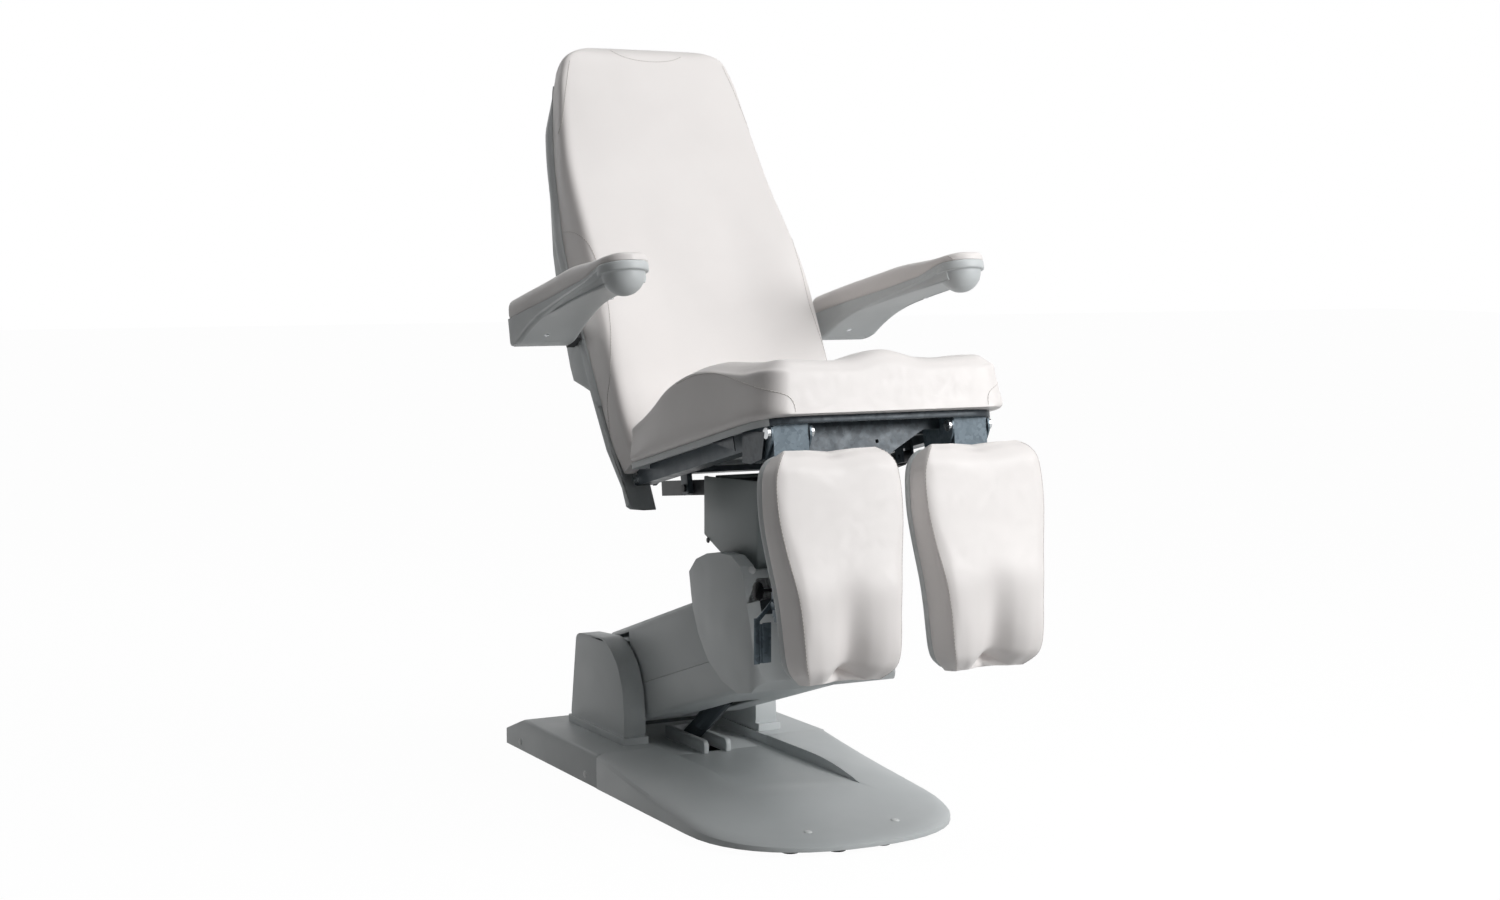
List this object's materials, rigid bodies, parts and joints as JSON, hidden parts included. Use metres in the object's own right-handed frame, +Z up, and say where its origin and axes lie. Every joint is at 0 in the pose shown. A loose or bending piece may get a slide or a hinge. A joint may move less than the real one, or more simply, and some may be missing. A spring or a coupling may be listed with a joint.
{
  "type": "podiatry chair",
  "caption": "Motorised treatment chair with moulded seat and back, folding armrests, split leg rests and a lifting arm on a flat floor base.",
  "frame": {"origin": "on the floor, under the middle of the whole chair as pictured", "axes": "+X towards the sitter's left, +Y towards the rear of the chair, +Z up; the chair faces -Y"},
  "size_m": [0.87, 1.3722, 1.6156],
  "materials": {
    "upholstery": "smooth coated upholstery cloth, warm off-white, fine grain",
    "grey_plastic": "satin cool grey moulding with a very fine texture",
    "dark_plastic": "dark grey-green moulding",
    "frame_steel": "dark blue-grey powder coat",
    "dark_steel": "black powder coat",
    "zinc_steel": "bright zinc plate, mottled",
    "bright_steel": "ground steel",
    "black_plastic": "black moulding",
    "rubber": "black rubber"
  },
  "bodies": {
    "base": {"base_frame": "frame_steel", "front_base_cover": "grey_plastic", "rear_base_cover": "grey_plastic", "turret_cover": "grey_plastic", "slot_bezel": "grey_plastic", "front_foot_1": "rubber", "front_foot_2": "rubber", "front_foot_3": "rubber", "front_foot_4": "rubber", "rear_foot_left": "rubber", "rear_foot_right": "rubber", "arm_pivot_shaft": "bright_steel", "link_pivot_pin": "bright_steel"},
    "arm": {"arm_beam": "frame_steel", "arm_upper_cover": "grey_plastic", "arm_lower_cover": "grey_plastic", "head_pivot_shaft": "bright_steel"},
    "link": {"parallel_link_bar": "frame_steel"},
    "lift_tube": {"lift_actuator_tube": "frame_steel"},
    "lift_rod": {"lift_actuator_rod": "bright_steel"},
    "head": {"head_cover": "grey_plastic", "head_bracket": "frame_steel", "skirt_cover": "dark_plastic", "tilt_bars": "dark_steel"},
    "tilt_tube": {"tilt_actuator_tube": "black_plastic"},
    "tilt_rod": {"tilt_actuator_rod": "bright_steel"},
    "seat": {"seat_frame": "frame_steel", "seat_board": "grey_plastic", "seat_cushion": "upholstery", "front_cross_plate": "zinc_steel", "leg_bearing_left": "zinc_steel", "leg_bearing_right": "zinc_steel", "back_hinge_pin_left": "bright_steel", "back_hinge_pin_right": "bright_steel", "leg_hinge_bolt_left": "bright_steel", "leg_hinge_bolt_right": "bright_steel"},
    "back_tube": {"back_actuator_tube": "black_plastic"},
    "back_rod": {"back_actuator_rod": "bright_steel"},
    "back": {"back_frame": "frame_steel", "back_shell": "grey_plastic", "back_cushion": "upholstery", "armrest_bracket_left": "black_plastic", "armrest_bracket_right": "black_plastic"},
    "armrest_left": {"armrest_shell_left": "grey_plastic", "armrest_pad_left": "upholstery"},
    "leg_left": {"leg_channel_left": "zinc_steel"},
    "leg_pad_left": {"leg_slider_left": "zinc_steel", "leg_shell_left": "grey_plastic", "leg_cushion_left": "upholstery"},
    "clamp_knob_left": {"clamp_knob_left": "black_plastic"},
    "release_lever_left": {"release_lever_left": "zinc_steel"},
    "armrest_right": {"armrest_shell_right": "grey_plastic", "armrest_pad_right": "upholstery"},
    "leg_right": {"leg_channel_right": "zinc_steel"},
    "leg_pad_right": {"leg_slider_right": "zinc_steel", "leg_shell_right": "grey_plastic", "leg_cushion_right": "upholstery"},
    "clamp_knob_right": {"clamp_knob_right": "black_plastic"},
    "release_lever_right": {"release_lever_right": "zinc_steel"}
  },
  "joints": [
    {"name": "lift", "type": "hinge", "parent": "base", "child": "arm", "pos_m": [0, 0.38709, 0.215], "axis": [-1, 0, 0], "range_deg": [-17, 13]},
    {"name": "head_level", "type": "hinge", "parent": "arm", "child": "head", "pos_m": [0, -0.14844, 0.37873], "axis": [-1, 0, 0], "range_deg": [-13.5, 17.5]},
    {"name": "parallel_link", "type": "hinge", "parent": "base", "child": "link", "pos_m": [0, 0.38709, 0.273], "axis": [-1, 0, 0], "range_deg": [-17.5, 13.5]},
    {"name": "lift_strut", "type": "hinge", "parent": "base", "child": "lift_tube", "pos_m": [0, 0.31209, 0.058], "axis": [-1, 0, 0], "range_deg": [-17, 13]},
    {"name": "lift_stroke", "type": "slide", "parent": "lift_tube", "child": "lift_rod", "axis": [0, -0.8232, 0.5677], "range_m": [-0.053, 0.041]},
    {"name": "seat_tilt", "type": "hinge", "parent": "head", "child": "seat", "pos_m": [0, 0.05909, 0.658], "axis": [-1, 0, 0], "range_deg": [-10, 8]},
    {"name": "tilt_strut", "type": "hinge", "parent": "head", "child": "tilt_tube", "pos_m": [0, -0.21891, 0.498], "axis": [-1, 0, 0], "range_deg": [-3, 3]},
    {"name": "tilt_stroke", "type": "slide", "parent": "tilt_tube", "child": "tilt_rod", "axis": [0, 0, 1], "range_m": [-0.05, 0.04]},
    {"name": "back_recline", "type": "hinge", "parent": "seat", "child": "back", "pos_m": [0, 0.09309, 0.68], "axis": [-1, 0, 0], "range_deg": [0, 58]},
    {"name": "back_strut", "type": "hinge", "parent": "seat", "child": "back_tube", "pos_m": [0.148, -0.37365, 0.74707], "axis": [-1, 0, 0], "range_deg": [-4, 0.5]},
    {"name": "back_stroke", "type": "slide", "parent": "back_tube", "child": "back_rod", "axis": [0, 0.9613, -0.2756], "range_m": [-0.066, 0.001]},
    {"name": "armrest_left", "type": "hinge", "parent": "back", "child": "armrest_left", "pos_m": [0.323, 0.25751, 0.9749], "axis": [-1, 0, 0], "range_deg": [0, 85]},
    {"name": "legrest_left", "type": "hinge", "parent": "seat", "child": "leg_left", "pos_m": [0.197, -0.52411, 0.8192], "axis": [-1, 0, 0], "range_deg": [-4, 69]},
    {"name": "leg_length_left", "type": "slide", "parent": "leg_left", "child": "leg_pad_left", "axis": [0, -0.1045, -0.9945], "range_m": [0, 0.12]},
    {"name": "clamp_left", "type": "hinge", "parent": "leg_pad_left", "child": "clamp_knob_left", "pos_m": [0.25, -0.54338, 0.53063], "axis": [-1, 0, 0], "range_deg": [0, 180]},
    {"name": "release_left", "type": "hinge", "parent": "leg_pad_left", "child": "release_lever_left", "pos_m": [0.25, -0.55138, 0.50231], "axis": [-1, 0, 0], "range_deg": [0, 12], "stiffness_Nm_per_rad": 1.2, "springref_deg": -5.73},
    {"name": "armrest_right", "type": "hinge", "parent": "back", "child": "armrest_right", "pos_m": [-0.323, 0.25751, 0.9749], "axis": [-1, 0, 0], "range_deg": [0, 85]},
    {"name": "legrest_right", "type": "hinge", "parent": "seat", "child": "leg_right", "pos_m": [-0.197, -0.52411, 0.8192], "axis": [-1, 0, 0], "range_deg": [-4, 69]},
    {"name": "leg_length_right", "type": "slide", "parent": "leg_right", "child": "leg_pad_right", "axis": [0, -0.1045, -0.9945], "range_m": [0, 0.12]},
    {"name": "clamp_right", "type": "hinge", "parent": "leg_pad_right", "child": "clamp_knob_right", "pos_m": [-0.25, -0.54338, 0.53063], "axis": [-1, 0, 0], "range_deg": [0, 180]},
    {"name": "release_right", "type": "hinge", "parent": "leg_pad_right", "child": "release_lever_right", "pos_m": [-0.25, -0.55138, 0.50231], "axis": [-1, 0, 0], "range_deg": [0, 12], "stiffness_Nm_per_rad": 1.2, "springref_deg": -5.73}
  ],
  "couplings": [
    {"joint": "head_level", "follows": "lift", "ratio": -1},
    {"joint": "parallel_link", "follows": "lift", "ratio": 1},
    {"joint": "lift_strut", "follows": "lift", "ratio": 0.93622},
    {"joint": "lift_stroke", "follows": "lift", "m_per_rad": 0.17061},
    {"joint": "tilt_strut", "follows": "seat_tilt", "ratio": 0.28935},
    {"joint": "tilt_stroke", "follows": "seat_tilt", "m_per_rad": 0.27694},
    {"joint": "back_strut", "follows": "back_recline", "ratio": -0.0435},
    {"joint": "back_stroke", "follows": "back_recline", "m_per_rad": -0.0638}
  ]
}
